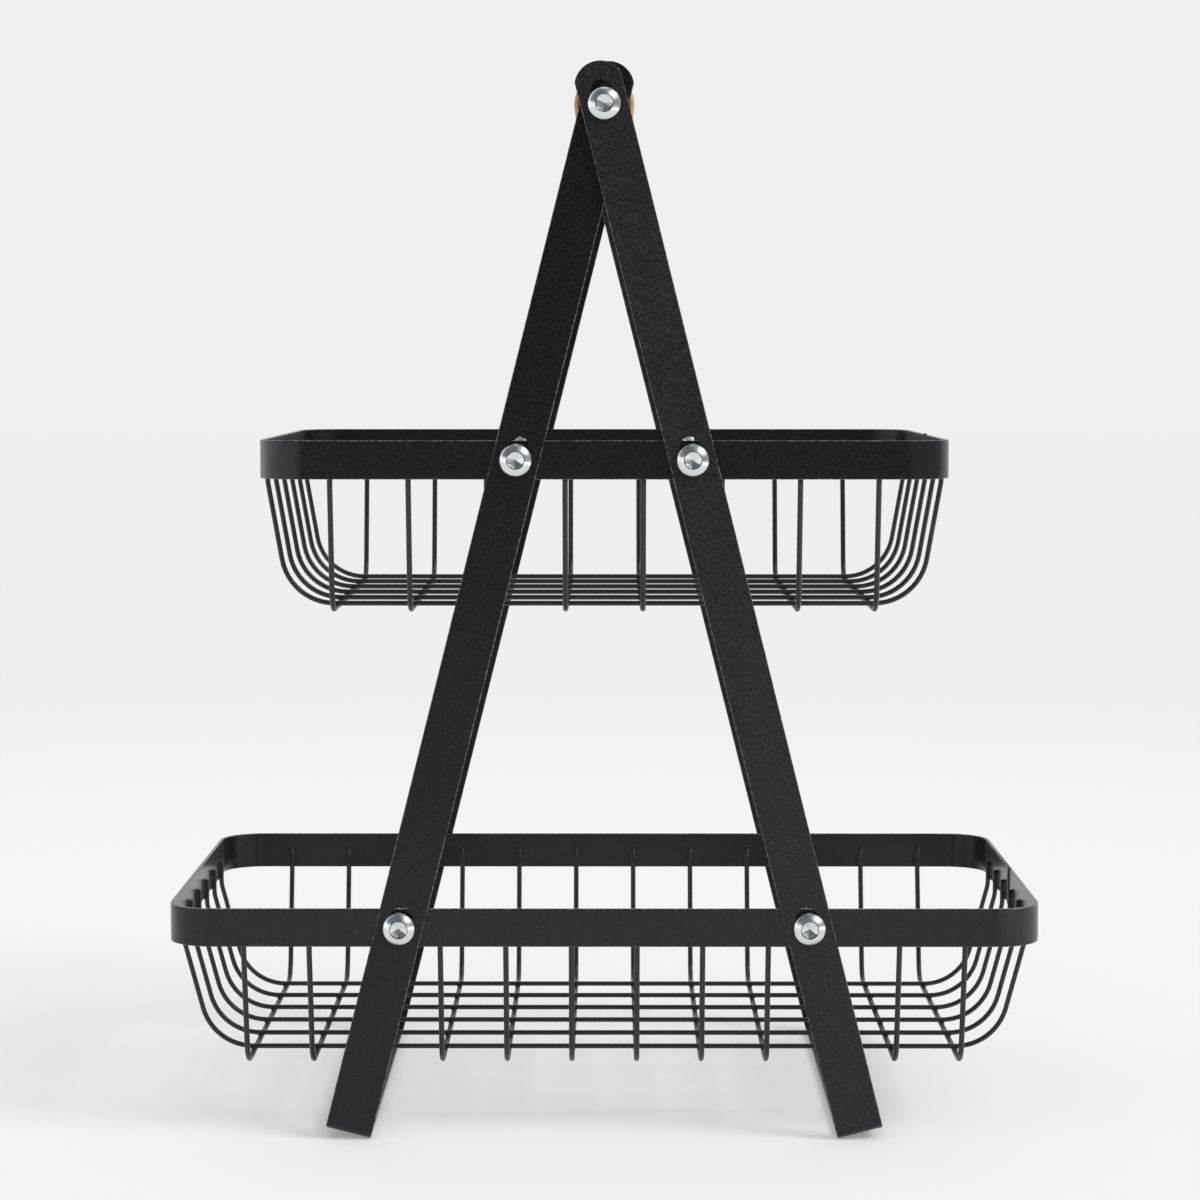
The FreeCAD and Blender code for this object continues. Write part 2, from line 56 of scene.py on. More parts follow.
def nodesNamed(start):
    return [name for name in frame["nodes"] if name.startswith(start)]


def middleOf(node):
    low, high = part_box(node)
    return (low + high) / 2


def feed(tree, node, inputs):
    # each input gets a link or a plain value
    for name, value in inputs.items():
        if isinstance(value, bpy.types.NodeSocket):
            tree.links.new(value, node.inputs[name])
        else:
            node.inputs[name].default_value = value


def addNode(tree, kind, inputs=None, **settings):
    node = tree.nodes.new(kind)
    for name, value in settings.items():
        setattr(node, name, value)
    feed(tree, node, inputs or {})
    return node


def plainMesh(holder):
    # what the modifiers give, as a mesh of its own
    graph = bpy.context.evaluated_depsgraph_get()
    mesh = bpy.data.meshes.new_from_object(holder.evaluated_get(graph), depsgraph=graph)
    bpy.data.objects.remove(holder)
    return mesh


def newHolder(data):
    holder = bpy.data.objects.new("holder", data)
    bpy.context.scene.collection.objects.link(holder)
    return holder


def addPiece(name, mesh, body, nodes=()):
    mesh.name = name
    piece = bpy.data.objects.new(name, mesh)
    bpy.context.scene.collection.objects.link(piece)
    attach(piece, body)
    if nodes:
        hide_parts(*nodes)


# materials
def newMaterial(name):
    material = bpy.data.materials.new(name)
    material.use_nodes = True
    tree = material.node_tree
    coords = addNode(tree, "ShaderNodeTexCoord").outputs["Object"]
    return material, tree, tree.nodes["Principled BSDF"], coords


# from here to bumpOf, each function adds a node and gives its result
def noiseOf(tree, coords, scale, detail, distortion=0.0):
    inputs = {"Vector": coords, "Scale": scale, "Detail": detail, "Distortion": distortion}
    return addNode(tree, "ShaderNodeTexNoise", inputs).outputs["Fac"]


def mapped(tree, value, source=(0.0, 1.0), target=(0.0, 1.0), **settings):
    inputs = {"Value": value, "From Min": source[0], "From Max": source[1],
              "To Min": target[0], "To Max": target[1]}
    return addNode(tree, "ShaderNodeMapRange", inputs, **settings).outputs["Result"]


def mixed(tree, share, first, second):
    # inputs 6 and 7 are the two colours, and output 2 is their mix
    return addNode(tree, "ShaderNodeMix", {0: share, 6: first, 7: second}, data_type="RGBA").outputs[2]


def mathOf(tree, operation, first, second):
    return addNode(tree, "ShaderNodeMath", {0: first, 1: second}, operation=operation).outputs[0]


def attributeOf(tree, name):
    return addNode(tree, "ShaderNodeAttribute", attribute_name=name).outputs["Fac"]


def bumpOf(tree, height, distance):
    return addNode(tree, "ShaderNodeBump", {"Height": height, "Distance": distance}).outputs["Normal"]


powderCoat = {
    "left": {
        "dark": (0.0045, 0.0045, 0.0056, 1),
        "light": (0.0078, 0.0078, 0.0092, 1),
        "paintedGlint": 0.40,
        "rarity": 3.0,
        "specular": 0.34,
        "roughness": (0.235, 0.285),
        "relief": 0.00006,
    },
    "right": {                     # painted light: a lighter copy of the left frame's coat, with more glints, for the lamp light its legs catch
        "dark": (0.0110, 0.0110, 0.0127, 1),
        "light": (0.0195, 0.0195, 0.0218, 1),
        "paintedGlint": 1.0,
        "rarity": 1.7,
        "specular": 0.27,
        "roughness": (0.20, 0.31),
        "relief": 0.00005,
    },
    "rims": {
        "dark": (0.0022, 0.0022, 0.0032, 1),
        "light": (0.0080, 0.0080, 0.0093, 1),
        "paintedGlint": 0.12,
        "rarity": 3.0,
        "specular": 0.46,
        "roughness": (0.24, 0.275),
        "relief": 0.00002,
    },
    "grains": 1200.0,              # per metre, as the other patterns are
    "fineGrains": 2400.0,
    "fineShare": 0.35,             # of the fine grains in the relief
    "mottle": (0.38, 0.62),        # noise values of the dark tone and of the light one
    "glossNoise": (0.3, 0.7),      # noise values of the smoothest spots and of the roughest
    "flecks": 1350.0,
    # colour of the painted glints
    "fleck": (0.0850, 0.0850, 0.0960, 1),
    "glintReach": (0.05, 0.52),    # from the middle of a cell: where a painted glint is full and where it ends
    "glintRise": (0.02, 0.40),     # heights of the faintest painted glints and of the brightest
    "faintest": 0.15,
    # colour of the painted edge highlight
    "edge": (0.1200, 0.1200, 0.1280, 1),
    "highlightBreaks": 700.0,
    "highlightNoise": (0.45, 0.60),     # noise values of the faintest painted edge highlight and of the brightest
    "faintestHighlight": 0.04,
    "specularTint": (0.87, 0.87, 1.0, 1),
    "sheen": 0.06,
    "sheenRoughness": 0.35,
}


def makePowderCoat(name, own):
    p = powderCoat
    material, tree, shader, coords = newMaterial(name)
    grain = noiseOf(tree, coords, p["grains"], detail=2.0)
    fine = noiseOf(tree, coords, p["fineGrains"], detail=1.0)
    spots = noiseOf(tree, coords, p["highlightBreaks"], detail=2.0)
    tone = mixed(tree, mapped(tree, grain, p["mottle"]), own["dark"], own["light"])
    # painted glints: a lighter speck in each cell, most of them faint, standing in for the lamp's glints
    # off the coat's grain
    cells = addNode(tree, "ShaderNodeTexVoronoi", {"Vector": coords, "Scale": p["flecks"]}).outputs
    glintSpot = mapped(tree, cells["Distance"], p["glintReach"], (own["paintedGlint"], 0.0))
    chance = addNode(tree, "ShaderNodeSeparateColor", {"Color": cells["Color"]}).outputs["Red"]
    fleck = mathOf(tree, "MULTIPLY", glintSpot, mathOf(tree, "POWER", chance, own["rarity"]))
    height = addNode(tree, "ShaderNodeSeparateXYZ", {"Vector": coords}).outputs["Z"]
    # the painted glints grow brighter higher up, where the lamp catches more of them
    rise = mapped(tree, height, p["glintRise"], (p["faintest"], 1.0))
    flecked = mixed(tree, mathOf(tree, "MULTIPLY", fleck, rise), tone, p["fleck"])
    # painted highlight: the rounded edges lighter, in broken lines
    broken = mapped(tree, spots, p["highlightNoise"], (p["faintestHighlight"], 1.0))
    highlightShare = mathOf(tree, "MULTIPLY", attributeOf(tree, "paintedEdgeHighlight"), broken)
    # inputs 2 and 3 are two plain numbers, and output 0 is their mix
    grains = addNode(tree, "ShaderNodeMix", {0: p["fineShare"], 2: grain, 3: fine}).outputs[0]
    feed(tree, shader, {
        "Base Color": mixed(tree, highlightShare, flecked, p["edge"]),
        "Roughness": mapped(tree, grain, p["glossNoise"], own["roughness"]),
        "Normal": bumpOf(tree, grains, own["relief"]),
        "Specular IOR Level": own["specular"],
        "Specular Tint": p["specularTint"],
        "Sheen Weight": p["sheen"],
        "Sheen Roughness": p["sheenRoughness"],
    })
    return material


wireCoat = {
    "dark": (0.0070, 0.0070, 0.0078, 1),
    "light": (0.0150, 0.0150, 0.0160, 1),
    "grains": 900.0,
    "roughness": (0.26, 0.40),
    "relief": 0.00004,
    "sheen": 0.06,
    "sheenRoughness": 0.35,
}


def makeWireCoat():
    p = wireCoat
    material, tree, shader, coords = newMaterial("blackWireCoat")
    grain = noiseOf(tree, coords, p["grains"], detail=3.0)
    feed(tree, shader, {
        "Base Color": mixed(tree, grain, p["dark"], p["light"]),
        "Roughness": mapped(tree, grain, target=p["roughness"]),
        "Normal": bumpOf(tree, grain, p["relief"]),
        "Sheen Weight": p["sheen"],
        "Sheen Roughness": p["sheenRoughness"],
    })
    return material


zincPlate = {
    "cool": (0.66, 0.71, 0.76, 1),
    "warm": (0.80, 0.80, 0.77, 1),
    "paintedCreaseShade": (0.09, 0.095, 0.10, 1),  # painted shade in the crease round a socket's mouth
    "clouds": 260.0,
    "glossNoise": (0.3, 0.7),
    "roughness": (0.17, 0.28),
    "dullRoughness": (0.40, 0.55),
    "relief": 0.00001,
}


def makeZincPlate(name, roughness):
    p = zincPlate
    material, tree, shader, coords = newMaterial(name)
    clouds = noiseOf(tree, coords, p["clouds"], detail=4.0)
    tone = mixed(tree, clouds, p["cool"], p["warm"])
    feed(tree, shader, {
        "Base Color": mixed(tree, attributeOf(tree, "paintedCreaseShade"), tone, p["paintedCreaseShade"]),
        "Roughness": mapped(tree, clouds, p["glossNoise"], roughness),
        "Normal": bumpOf(tree, clouds, p["relief"]),
        "Metallic": 1.0,
    })
    return material


beech = {
    "pale": (0.600, 0.370, 0.205, 1),
    "dark": (0.420, 0.225, 0.110, 1),
    "fleck": (0.300, 0.150, 0.072, 1),
    # end grain is darker wood, darkened further as painted shade where it shows through the slots
    "endGrainAndShade": (0.100, 0.055, 0.030, 1),
    "grain": (420.0, 9.0, 420.0),      # grain runs along Y
    "grainWaves": 0.6,
    "flecks": (900.0, 90.0, 900.0),
    "fleckNoise": (0.62, 0.72),        # noise values where flecks begin and where they are strongest
    "fleckStrength": 0.55,
    "roughness": (0.42, 0.60),
    "relief": 0.00005,
}


def makeBeech():
    p = beech
    material, tree, shader, coords = newMaterial("beechWood")

    def stretched(scale):
        return addNode(tree, "ShaderNodeMapping", {"Vector": coords, "Scale": scale}).outputs["Vector"]

    grain = noiseOf(tree, stretched(p["grain"]), 1.0, detail=5.0, distortion=p["grainWaves"])
    fleck = noiseOf(tree, stretched(p["flecks"]), 1.0, detail=1.0)
    tone = mixed(tree, grain, p["dark"], p["pale"])
    share = mapped(tree, fleck, p["fleckNoise"], (0.0, p["fleckStrength"]))
    flecked = mixed(tree, share, tone, p["fleck"])
    feed(tree, shader, {
        # end faces: darker end grain with painted shade
        "Base Color": mixed(tree, attributeOf(tree, "endGrainAndShade"), flecked, p["endGrainAndShade"]),
        "Roughness": mapped(tree, grain, target=p["roughness"]),
        "Normal": bumpOf(tree, fleck, p["relief"]),
    })
    return material


frameCoats = {}
# the right frame's coat is the copy painted lighter, for the light its legs catch
for side in ("left", "right"):
    frameCoats[side] = makePowderCoat(side + "PowderCoat", powderCoat[side])
rimCoat = makePowderCoat("rimPowderCoat", powderCoat["rims"])
blackWireCoat = makeWireCoat()
zinc = makeZincPlate("zincPlate", zincPlate["roughness"])
dullZinc = makeZincPlate("dullZincPlate", zincPlate["dullRoughness"])
wood = makeBeech()
print("materials made")


# flat strip: cut to its outline with rounded edges, then bent along a path
strip = {
    "edgeSteps": 2,
    "bendStep": math.radians(6),
    "arcPoints": 24,
    "highlitEdge": 0.001,
    "highlitSlope": (0.1, 0.98),   # faces given the painted edge highlight: between a side wall and a flat face, as the upward part of the normal
    "mergeDistance": 1e-6,
    "cutDistance": 1e-7,
    "pathSlack": 1e-9,
}


def arcOf(centre, radius, start, finish):
    steps = strip["arcPoints"]
    turns = [start + (finish - start) * step / steps for step in range(steps + 1)]
    return [(centre[0] + radius * math.cos(turn), centre[1] + radius * math.sin(turn)) for turn in turns]


def longHole(first, last, radius):
    # round-ended loop along the strip, between two centres
    return arcOf((last, 0), radius, -quarter, quarter) + arcOf((first, 0), radius, quarter, 3 * quarter)


def barOutline(length, half, radius):
    # both ends closed by an arc flatter than a half circle
    swing = math.asin(half / radius)
    far = arcOf((length - radius, 0), radius, -swing, swing)
    near = arcOf((radius, 0), radius, math.pi - swing, math.pi + swing)
    return far + near


def cutStrip(outline, holes, thickness, edge):
    curve = bpy.data.curves.new("outline", "CURVE")
    curve.dimensions = "2D"
    curve.fill_mode = "BOTH"
    curve.extrude = thickness / 2 - edge
    curve.bevel_depth = edge
    curve.bevel_resolution = strip["edgeSteps"]
    curve.offset = -edge
    for loop in [outline] + holes:
        spline = curve.splines.new("POLY")
        spline.points.add(len(loop) - 1)
        for point, spot in zip(spline.points, loop):
            point.co = (spot[0], spot[1], 0, 1)
        spline.use_cyclic_u = True
    return plainMesh(newHolder(curve))


def layPath(start, heading, moves):
    # moves are (length, turn), the turn counted to the left; gives the spans and the whole length
    spans = []
    spot = Vector(start)
    done = 0.0
    for length, turn in moves:
        spans.append({"start": done, "length": length, "spot": spot, "heading": heading, "turn": turn})
        spot, heading = pathAt(spans, done + length)
        done += length
    return spans, done


def pathAt(spans, distance):
    span = spans[0]
    for candidate in spans:
        if candidate["start"] <= distance + strip["pathSlack"]:
            span = candidate
    run = distance - span["start"]
    heading = span["heading"]
    if not span["turn"]:
        return span["spot"] + Vector((math.cos(heading), math.sin(heading))) * run, heading
    bend = span["turn"] / span["length"]
    later = heading + bend * run
    shift = Vector((math.sin(later) - math.sin(heading), math.cos(heading) - math.cos(later)))
    return span["spot"] + shift / bend, later


def bendStrip(flat, spans, place, coat):
    # place turns a point of the bent path and a distance across the strip into a point of the piece
    bm = bmesh.new()
    bm.from_mesh(flat)
    bmesh.ops.remove_doubles(bm, verts=bm.verts, dist=strip["mergeDistance"])
    for span in spans:
        if span["turn"]:
            steps = math.ceil(abs(span["turn"]) / strip["bendStep"])
            for step in range(steps + 1):
                cut = (span["start"] + span["length"] * step / steps, 0, 0)
                bmesh.ops.bisect_plane(bm, geom=bm.verts[:] + bm.edges[:] + bm.faces[:],
                                       dist=strip["cutDistance"], plane_co=cut, plane_no=(1, 0, 0))
    bm.normal_update()
    # only the rounding along the two long edges gets the painted highlight
    highlit = bm.faces.layers.float.new("paintedEdgeHighlight")
    half = max(vert.co.y for vert in bm.verts)
    steepest, flattest = strip["highlitSlope"]
    for face in bm.faces:
        outer = abs(face.calc_center_median().y) > half - strip["highlitEdge"]
        face[highlit] = 1.0 if outer and steepest < abs(face.normal.z) < flattest else 0.0
        face.smooth = True
    for vert in bm.verts:
        spot, heading = pathAt(spans, vert.co.x)
        left = Vector((-math.sin(heading), math.cos(heading)))
        vert.co = place(spot + left * vert.co.z, vert.co.y)
    bmesh.ops.recalc_face_normals(bm, faces=bm.faces)
    mesh = bpy.data.meshes.new("bent")
    bm.to_mesh(mesh)
    bm.free()
    mesh.materials.append(coat)
    holder = newHolder(mesh)
    holder.modifiers.new("evenNormals", "WEIGHTED_NORMAL")
    return plainMesh(holder)


# leg frames: one bar bent into a U, with one leg set outwards at the top
legBar = {
    "splay": math.radians(14.1),
    "width": 0.020,
    "thickness": 0.0025,
    "edge": 0.00035,
    "legTop": 0.018,            # end of a leg above the handle axis
    "endArc": 0.0109,
    "footBend": 0.0025,         # inside of the bend at the floor
    "joggle": (0.105, 0.046),   # start and finish below the handle axis
    "joggleBend": 0.080,
    "slotRadius": 0.0043,
    "slotRise": 0.0058,
}


def makeLegFrames():
    p = legBar
    half = p["width"] / 2
    legTop = p["legTop"]
    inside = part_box("upper_rim")[1].y
    middle = inside + p["thickness"] / 2
    bend = p["footBend"] + p["thickness"] / 2
    floorBar = p["thickness"] / 2 - (apex.z - half * math.sin(p["splay"])) / math.cos(p["splay"])
    lean = math.atan2(p["thickness"], p["joggle"][0] - p["joggle"][1])
    slope = math.hypot(p["thickness"], p["joggle"][0] - p["joggle"][1])
    easing = p["joggleBend"] * math.tan(lean / 2)
    footTurn = (bend * quarter, quarter)
    moves = [
        (legTop - floorBar - bend, 0),
        footTurn,
        (2 * (middle - bend), 0),
        footTurn,
        (-p["joggle"][0] - floorBar - bend - easing, 0),
        (p["joggleBend"] * lean, -lean),
        (slope - 2 * easing, 0),
        (p["joggleBend"] * lean, lean),
        (legTop + p["joggle"][1] - easing, 0),
    ]
    spans, length = layPath((-middle, legTop), -quarter, moves)
    farFoot = spans[4]["start"]  # after the second foot bend
    holes = []
    for level in [apex.z] + [middleOf(basket + "_rim").z for basket in baskets]:
        drop = (apex.z - level) / math.cos(p["splay"])
        near = legTop + drop
        # on the far leg, the top hole is past the joggle and so is measured from the end
        far = length - legTop if drop == 0 else farFoot - drop - floorBar - bend
        holes.append(longHole(near - p["slotRise"], near, p["slotRadius"]))
        holes.append(longHole(far, far + p["slotRise"], p["slotRadius"]))
    outline = barOutline(length, half, p["endArc"])
    flat = cutStrip(outline, holes, p["thickness"], p["edge"])
    leaning = Matrix.Translation(apex) @ Matrix.Rotation(p["splay"], 4, "Y")
    for side, turn in (("left", 0.0), ("right", math.pi)):
        place = Matrix.Rotation(turn, 4, "Z") @ leaning
        mesh = bendStrip(flat, spans, lambda spot, across: place @ Vector((across, spot.x, spot.y)),
                         frameCoats[side])
        addPiece(side + "LegFrame", mesh, "stand", [side + "_leg_frame"])
    print("leg frames bent from", round(length, 4), "m of bar")


makeLegFrames()


# rims: a strip bent into a rounded rectangle, its ends meeting in a seam at the right
rim = {
    "wall": 0.0015,
    "corner": 0.020,
    "seam": 0.0004,
    "edge": 0.0003,
    "holeRadius": 0.0043,
    "screwHead": 0.007,         # radius of a screw's head
}


def makeRim(basket):
    p = rim
    low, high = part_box(basket + "_rim")
    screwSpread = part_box(basket + "_basket_screws")[1].x - p["screwHead"]
    flatX = high.x - p["corner"]
    flatY = high.y - p["corner"]
    corner = ((p["corner"] - p["wall"] / 2) * quarter, quarter)
    half = (flatY - p["seam"] / 2, 0)
    side = (2 * flatX, 0)
    spans, length = layPath((high.x - p["wall"] / 2, p["seam"] / 2), quarter,
                            [half, corner, side, corner, (2 * flatY, 0), corner, side, corner, half])
    height = high.z - low.z
    holes = []
    for sideSpan in (spans[2], spans[6]):  # rear and front
        for spread in (-screwSpread, screwSpread):
            spot = sideSpan["start"] + flatX + spread
            holes.append(longHole(spot, spot, p["holeRadius"]))
    outline = [(0, -height / 2), (length, -height / 2), (length, height / 2), (0, height / 2)]
    flat = cutStrip(outline, holes, p["wall"], p["edge"])
    level = (low.z + high.z) / 2
    mesh = bendStrip(flat, spans, lambda spot, across: Vector((spot.x, spot.y, level + across)), rimCoat)
    addPiece(basket + "Rim", mesh, "stand", [basket + "_rim"])
    print(basket, "rim bent from", round(length, 4), "m of strip")


for basket in baskets:
    makeRim(basket)


# node trees
def newTree(name, sizes):
    tree = bpy.data.node_groups.new(name, "GeometryNodeTree")
    tree.interface.new_socket("Geometry", in_out="INPUT", socket_type="NodeSocketGeometry")
    for label, kind in sizes.items():
        tree.interface.new_socket(label, in_out="INPUT", socket_type="NodeSocket" + kind)
    tree.interface.new_socket("Geometry", in_out="OUTPUT", socket_type="NodeSocketGeometry")
    return tree, addNode(tree, "NodeGroupInput").outputs


def closeTree(tree, instances, material):
    real = addNode(tree, "GeometryNodeRealizeInstances", {"Geometry": instances})
    smooth = addNode(tree, "GeometryNodeSetShadeSmooth", {"Geometry": real.outputs[0]})
    coated = addNode(tree, "GeometryNodeSetMaterial",
                     {"Geometry": smooth.outputs[0], "Material": material})
    addNode(tree, "NodeGroupOutput", {"Geometry": coated.outputs[0]})


def vectorsNamed(tree, name):
    named = addNode(tree, "GeometryNodeInputNamedAttribute", {"Name": name}, data_type="FLOAT_VECTOR")
    return named.outputs[0]


def pointCloud(spots, **vectors):
    mesh = bpy.data.meshes.new("points")
    mesh.from_pydata(spots, [], [])
    for name, values in vectors.items():
        layer = mesh.attributes.new(name, "FLOAT_VECTOR", "POINT")
        for item, value in zip(layer.data, values):
            item.vector = value
    return mesh


def runTree(tree, points, sizes):
    holder = newHolder(points)
    modifier = holder.modifiers.new("nodes", "NODES")
    modifier.node_group = tree
    for item in tree.interface.items_tree:
        if item.in_out == "INPUT" and item.name in sizes:
            modifier[item.identifier] = sizes[item.name]
    return plainMesh(holder)


# wires: up the rim, a slight kink below it, a leaning side, a round bend and a flat floor
wire = {
    "crossLean": {"lower": math.radians(14), "upper": math.radians(10)},
    "longLean": {"lower": math.radians(15), "upper": math.radians(10)},
    "crossBend": 0.012,
    "longBend": 0.023,
    "kinkDrop": 0.0005,
    "kinkRadius": 0.015,
    "endRound": 0.0003,
    "endShare": 0.7,            # of the wire's radius at its very end
    "sides": 16,
    "bendSteps": 12,
}


def wireTree():
    tree, given = newTree("bentWires", {
        "Post": "Float", "Weld Top": "Float", "Kink": "Float", "Floor": "Float", "Corner": "Float",
        "Kink Radius": "Float", "Bend Radius": "Float", "Wire Radius": "Float", "End Round": "Float",
        "End Share": "Float", "Sides": "Int", "Bend Steps": "Int", "Turn": "Rotation",
        "Material": "Material",
    })

    def spot(x, z):
        return addNode(tree, "ShaderNodeCombineXYZ", {"X": x, "Z": z}).outputs[0]

    def byIndex(kind, items):
        node = addNode(tree, "GeometryNodeIndexSwitch", data_type=kind)
        while len(node.index_switch_items) < len(items):
            node.index_switch_items.new()
        feed(tree, node, {"Index": addNode(tree, "GeometryNodeInputIndex").outputs[0]})
        feed(tree, node, {str(number): item for number, item in enumerate(items)})
        return node.outputs[0]

    shoulder = mathOf(tree, "SUBTRACT", given["Weld Top"], given["End Round"])
    leftX = mathOf(tree, "SUBTRACT", 0.0, given["Post"])
    leftCorner = mathOf(tree, "SUBTRACT", 0.0, given["Corner"])
    places = [
        spot(leftX, given["Weld Top"]), spot(leftX, shoulder), spot(leftX, given["Kink"]),
        spot(leftCorner, given["Floor"]), spot(given["Corner"], given["Floor"]),
        spot(given["Post"], given["Kink"]), spot(given["Post"], shoulder),
        spot(given["Post"], given["Weld Top"]),
    ]
    bends = [0.0, 0.0, given["Kink Radius"], given["Bend Radius"]]
    shares = [given["End Share"]] + [1.0] * (len(places) - 2) + [given["End Share"]]
    line = addNode(tree, "GeometryNodeMeshLine", {"Count": len(places)})
    path = addNode(tree, "GeometryNodeMeshToCurve", {"Mesh": line.outputs[0]})
    shaped = addNode(tree, "GeometryNodeSetPosition",
                     {"Geometry": path.outputs[0], "Position": byIndex("VECTOR", places)})
    tapered = addNode(tree, "GeometryNodeSetCurveRadius",
                      {"Curve": shaped.outputs[0], "Radius": byIndex("FLOAT", shares)})
    rounded = addNode(tree, "GeometryNodeFilletCurve",
                      {"Curve": tapered.outputs[0], "Count": given["Bend Steps"],
                       "Radius": byIndex("FLOAT", bends + bends[::-1])}, mode="POLY")
    section = addNode(tree, "GeometryNodeCurvePrimitiveCircle",
                      {"Resolution": given["Sides"], "Radius": given["Wire Radius"]})
    thickness = addNode(tree, "GeometryNodeInputRadius").outputs[0]
    rod = addNode(tree, "GeometryNodeCurveToMesh",
                  {"Curve": rounded.outputs[0], "Profile Curve": section.outputs[0], "Scale": thickness,
                   "Fill Caps": True})
    copies = addNode(tree, "GeometryNodeInstanceOnPoints",
                     {"Points": given["Geometry"], "Instance": rod.outputs[0],
                      "Rotation": given["Turn"]})
    closeTree(tree, copies.outputs[0], given["Material"])
    return tree


def makeWires(tree, basket, run):
    p = wire
    nodes = nodesNamed("%s_%s_wire_" % (basket, run))
    along = Vector((1, 0, 0)) if run == "long" else Vector((0, 1, 0))
    across = Vector((0, 1, 0)) if run == "long" else Vector((1, 0, 0))
    low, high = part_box(nodes[0])
    radius = (high - low).dot(across) / 2
    post = high.dot(along) - radius
    lean = p[run + "Lean"][basket]
    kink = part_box(basket + "_rim")[0].z - p["kinkDrop"] - p["kinkRadius"] * math.tan(lean / 2)
    floor = low.z + radius
    sizes = {
        "Post": post, "Weld Top": high.z, "Kink": kink, "Floor": floor,
        "Corner": post - (kink - floor) * math.tan(lean),
        "Kink Radius": p["kinkRadius"], "Bend Radius": p[run + "Bend"], "Wire Radius": radius,
        "End Round": p["endRound"], "End Share": p["endShare"], "Sides": p["sides"],
        "Bend Steps": p["bendSteps"], "Turn": (0, 0, 0 if run == "long" else quarter),
        "Material": blackWireCoat,
    }
    points = pointCloud([across * middleOf(node).dot(across) for node in nodes])
    mesh = runTree(tree, points, sizes)
    addPiece("%s%sWires" % (basket, run.capitalize()), mesh, "stand", nodes)
    print(basket, run, "wires:", len(nodes))


bentWires = wireTree()
for basket in baskets:
    for run in ("cross", "long"):
        makeWires(bentWires, basket, run)


# welds: small beads where a wire meets the rim, where wires cross and along each rim's seam
weld = {
    "rimBead": (0.0019, 0.0011, 0.0052),     # half sizes: along the rim, off the rim, up it
    "rimDrop": 0.0007,                       # bead below the lower edge of the rim
    "crossBead": (0.0014, 0.0014, 0.0008),
    "seamBead": (0.0011, 0.0017, 0.0011),
    "seamSink": 0.0002,                      # middle of a seam bead inside the rim's wall
    "seamStart": 0.6,                        # middle of the first seam bead, in steps of the row
    "seamBeads": 14,
    "segments": 10,
    "rings": 6,
}


def weldTree():
    tree, given = newTree("weldBeads", {"Segments": "Int", "Rings": "Int", "Material": "Material"})
    bead = addNode(tree, "GeometryNodeMeshUVSphere",
                   {"Segments": given["Segments"], "Rings": given["Rings"], "Radius": 1.0})
    copies = addNode(tree, "GeometryNodeInstanceOnPoints",
                     {"Points": given["Geometry"], "Instance": bead.outputs[0],
                      "Scale": vectorsNamed(tree, "beadSize")})
    closeTree(tree, copies.outputs[0], given["Material"])
    return tree


def makeWelds(tree, basket):
    p = weld
    cross = [middleOf(node).x for node in nodesNamed(basket + "_cross_wire_")]
    long = [middleOf(node).y for node in nodesNamed(basket + "_long_wire_")]
    low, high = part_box(basket + "_rim")
    inner = Vector((high.x - rim["wall"], high.y - rim["wall"], 0))
    level = low.z - p["rimDrop"] + p["rimBead"][2]
    spots = []
    sizes = []
    for side in (-1, 1):
        spots += [(x, side * inner.y, level) for x in cross]
        sizes += [p["rimBead"]] * len(cross)
        spots += [(side * inner.x, y, level) for y in long]
        sizes += [(p["rimBead"][1], p["rimBead"][0], p["rimBead"][2])] * len(long)
    # the rim's own seam is closed by a row of overlapping beads
    seamRise = (high.z - low.z) / p["seamBeads"]
    for step in range(p["seamBeads"]):
        spots.append((inner.x + p["seamSink"], 0, low.z + seamRise * (step + p["seamStart"])))
    sizes += [p["seamBead"]] * p["seamBeads"]
    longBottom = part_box(nodesNamed(basket + "_long_wire_")[0])[0].z
    spots += [(x, y, longBottom) for x in cross for y in long]
    sizes += [p["crossBead"]] * (len(cross) * len(long))
    mesh = runTree(tree, pointCloud(spots, beadSize=sizes),
                   {"Segments": p["segments"], "Rings": p["rings"], "Material": blackWireCoat})
    addPiece(basket + "Welds", mesh, "stand")
    print(basket, "welds:", len(spots))


weldBeads = weldTree()
for basket in baskets:
    makeWelds(weldBeads, basket)


# turned pieces: rings of points about Z, joined and closed at both ends
sharpAngle = math.radians(35)  # faces that meet at more than this keep a sharp edge


def ringMesh(rings, count, mark="paintedCreaseShade", marked=()):
    # rings are functions of the angle that give (radius, height)
    # the faces that begin at a marked ring are marked
    bm = bmesh.new()
    layer = bm.faces.layers.float.new(mark)
    turns = [2 * math.pi * step / count for step in range(count)]
    loops = []
    for ring in rings:
        loop = []
        for turn in turns:
            radius, height = ring(turn)
            loop.append(bm.verts.new((radius * math.cos(turn), radius * math.sin(turn), height)))
        loops.append(loop)
    for number, (lower, upper) in enumerate(zip(loops, loops[1:])):
        for step in range(count):
            after = (step + 1) % count
            face = bm.faces.new((lower[step], lower[after], upper[after], upper[step]))
            face[layer] = 1.0 if number in marked else 0.0
    for loop in (loops[0], loops[-1]):
        middle = bm.verts.new(sum((vert.co for vert in loop), Vector()) / count)
        for step in range(count):
            bm.faces.new((loop[step], loop[(step + 1) % count], middle))
    bmesh.ops.recalc_face_normals(bm, faces=bm.faces)
    mesh = bpy.data.meshes.new("turned")
    bm.to_mesh(mesh)
    bm.free()
    return mesh


def plainRing(radius, height):
    return lambda turn: (radius, height)


def hexRing(acrossFlats, height):
    def ring(turn):
        sixth = math.pi / 3
        off = turn % sixth - sixth / 2
        return acrossFlats / 2 / math.cos(off), height
    return ring


